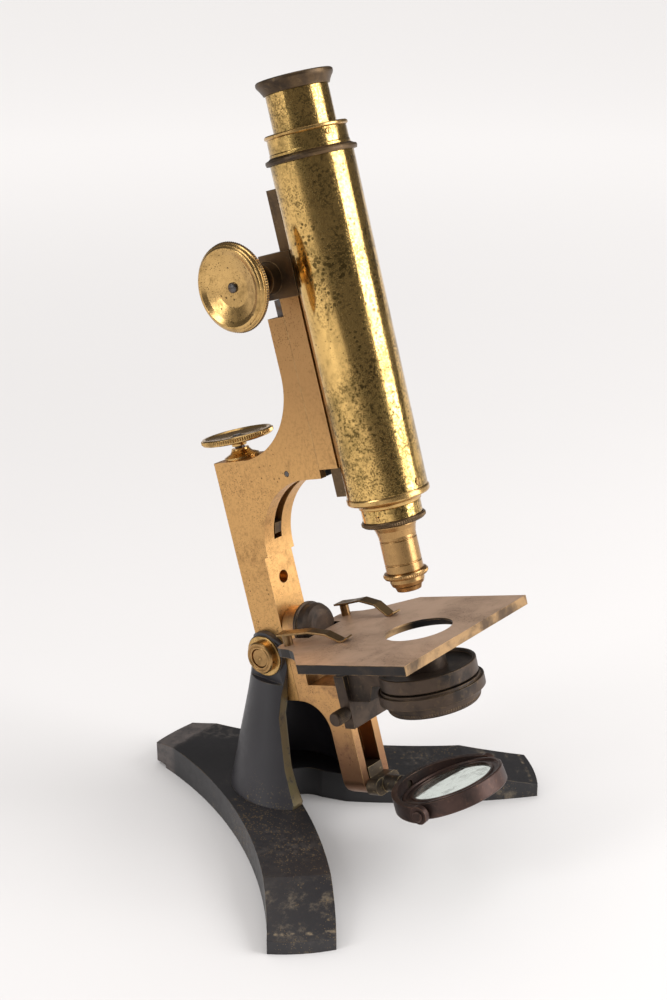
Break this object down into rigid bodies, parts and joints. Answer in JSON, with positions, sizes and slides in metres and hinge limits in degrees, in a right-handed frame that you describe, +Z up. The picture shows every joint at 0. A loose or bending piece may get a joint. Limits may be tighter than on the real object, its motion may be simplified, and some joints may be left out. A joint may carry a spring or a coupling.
{
  "type": "compound microscope",
  "caption": "Brass microscope with leaning limb, sliding body tube, stage with clips, swinging tailpiece, diaphragm and swivelling mirror on a three-toed iron foot.",
  "frame": {"origin": "on the table plane under the foot, straight below the trunnion axis", "axes": "+Z up, +X towards the front edge of the stage, -Y the side with the capstan nut"},
  "size_m": [0.2118, 0.2126, 0.3744],
  "materials": {
    "enamelled_iron": "worn black enamel",
    "tube_brass": "polished and lacquered, speckled with tarnish",
    "limb_brass": "satin lacquered",
    "dark_bronze": "chemically darkened",
    "stage_bronze": "worn brown lacquer",
    "knob_brass": "milled and tarnished",
    "steel": "dark with light rust",
    "lens_glass": "clear",
    "mirror_glass": "silvered glass"
  },
  "bodies": {
    "stand": {"foot": "enamelled_iron", "pillar": "enamelled_iron", "trunnion_bolt": "knob_brass", "trunnion_nut": "knob_brass", "trunnion_washers": "knob_brass"},
    "limb_body": {"limb": "limb_brass", "lever_pin": "steel", "fine_collar": "knob_brass", "stage_bracket": "dark_bronze", "stage_plate": "stage_bronze", "clip_posts": "knob_brass"},
    "fine_screw_body": {"fine_knob": "knob_brass", "fine_screw": "steel"},
    "fine_lever_body": {"fine_lever": "knob_brass"},
    "fine_slide": {"slide_tongue": "steel", "guide_block": "limb_brass", "pinion_housing": "dark_bronze"},
    "pinion_body": {"pinion": "steel", "coarse_knobs": "knob_brass", "knob_screws": "steel"},
    "tube_body": {"main_tube": "tube_brass", "slide_bar": "limb_brass", "rack": "steel", "collar_flare": "dark_bronze", "tube_collar": "dark_bronze", "collar_top_ring": "tube_brass", "tube_end_ring": "dark_bronze", "nosepiece": "dark_bronze", "nosepiece_ring": "dark_bronze", "objective_barrel": "tube_brass", "objective_ring": "dark_bronze", "objective_front": "tube_brass", "objective_lens": "lens_glass", "tube_screws": "knob_brass"},
    "draw_body": {"draw_tube": "tube_brass", "eyepiece_barrel": "dark_bronze", "eyepiece_cap": "dark_bronze", "eye_lens": "lens_glass", "field_lens": "lens_glass"},
    "clip_near_body": {"stage_clip_near": "knob_brass"},
    "clip_far_body": {"stage_clip_far": "knob_brass"},
    "tail_body": {"tailpiece": "limb_brass"},
    "substage_body": {"substage_slider": "dark_bronze", "substage_ring": "dark_bronze", "aperture_tube": "dark_bronze"},
    "clamp_body": {"clamp_screw": "knob_brass"},
    "diaphragm_body": {"diaphragm_drum": "dark_bronze", "diaphragm_cell": "dark_bronze", "iris_plate": "dark_bronze"},
    "carriage_body": {"mirror_carriage": "dark_bronze"},
    "fork_body": {"mirror_fork": "dark_bronze", "fork_pivots": "knob_brass"},
    "mirror_body": {"mirror_frame": "dark_bronze", "mirror_plane": "mirror_glass", "mirror_concave": "mirror_glass"}
  },
  "joints": [
    {"name": "limb_tilt", "type": "hinge", "parent": "stand", "child": "limb_body", "pos_m": [0, 0, 0.0883], "axis": [0, -1, 0], "range_deg": [-16.3, 73.7]},
    {"name": "fine_knob_turn", "type": "hinge", "parent": "limb_body", "child": "fine_screw_body", "pos_m": [-0.02385, 0, 0.18447], "axis": [-0.2807, 0, 0.9598], "range_deg": [-720, 720]},
    {"name": "fine_lever_rock", "type": "hinge", "parent": "limb_body", "child": "fine_lever_body", "pos_m": [0.01318, 0, 0.18644], "axis": [0, 1, 0], "range_deg": [-2.4, 2.4]},
    {"name": "fine_slide_move", "type": "slide", "parent": "limb_body", "child": "fine_slide", "axis": [-0.2807, 0, 0.9598], "range_m": [-0.00053, 0.00053]},
    {"name": "pinion_turn", "type": "hinge", "parent": "fine_slide", "child": "pinion_body", "pos_m": [0.00653, 0, 0.28046], "axis": [0, -1, 0], "range_deg": [-212, 622]},
    {"name": "tube_slide", "type": "slide", "parent": "fine_slide", "child": "tube_body", "axis": [-0.2807, 0, 0.9598], "range_m": [-0.015, 0.045]},
    {"name": "draw_slide", "type": "slide", "parent": "tube_body", "child": "draw_body", "axis": [-0.2807, 0, 0.9598], "range_m": [-0.016, 0.055]},
    {"name": "clip_near_swing", "type": "hinge", "parent": "limb_body", "child": "clip_near_body", "pos_m": [0.02358, -0.0223, 0.10457], "axis": [-0.2807, 0, 0.9598], "range_deg": [-25, 25]},
    {"name": "clip_far_swing", "type": "hinge", "parent": "limb_body", "child": "clip_far_body", "pos_m": [0.02358, 0.0223, 0.10457], "axis": [-0.2807, 0, 0.9598], "range_deg": [-25, 25]},
    {"name": "tail_swing", "type": "hinge", "parent": "limb_body", "child": "tail_body", "pos_m": [0.01315, 0, 0.10392], "axis": [0.9598, 0, 0.2807], "range_deg": [-20, 20]},
    {"name": "substage_slide", "type": "slide", "parent": "tail_body", "child": "substage_body", "axis": [-0.2807, 0, 0.9598], "range_m": [-0.012, 0.002]},
    {"name": "clamp_turn", "type": "hinge", "parent": "substage_body", "child": "clamp_body", "pos_m": [0.05236, -0.015, 0.0735], "axis": [0, -1, 0], "range_deg": [-180, 180]},
    {"name": "diaphragm_turn", "type": "hinge", "parent": "substage_body", "child": "diaphragm_body", "pos_m": [0.09257, 0, 0.09453], "axis": [-0.2807, 0, 0.9598], "continuous": true},
    {"name": "carriage_slide", "type": "slide", "parent": "tail_body", "child": "carriage_body", "axis": [-0.2807, 0, 0.9598], "range_m": [0, 0.01]},
    {"name": "fork_turn", "type": "hinge", "parent": "carriage_body", "child": "fork_body", "pos_m": [0.07554, 0, 0.03662], "axis": [0.9598, 0, 0.2807], "range_deg": [-45, 45]},
    {"name": "mirror_turn", "type": "hinge", "parent": "fork_body", "child": "mirror_body", "pos_m": [0.10683, 0, 0.04577], "axis": [-0.0098, 0.9994, 0.0335], "range_deg": [-45, 60]}
  ],
  "couplings": [
    {"joint": "fine_knob_turn", "follows": "fine_slide_move", "rad_per_m": -23585},
    {"joint": "fine_lever_rock", "follows": "fine_slide_move", "rad_per_m": -75.47},
    {"joint": "pinion_turn", "follows": "tube_slide", "rad_per_m": 238.09}
  ]
}
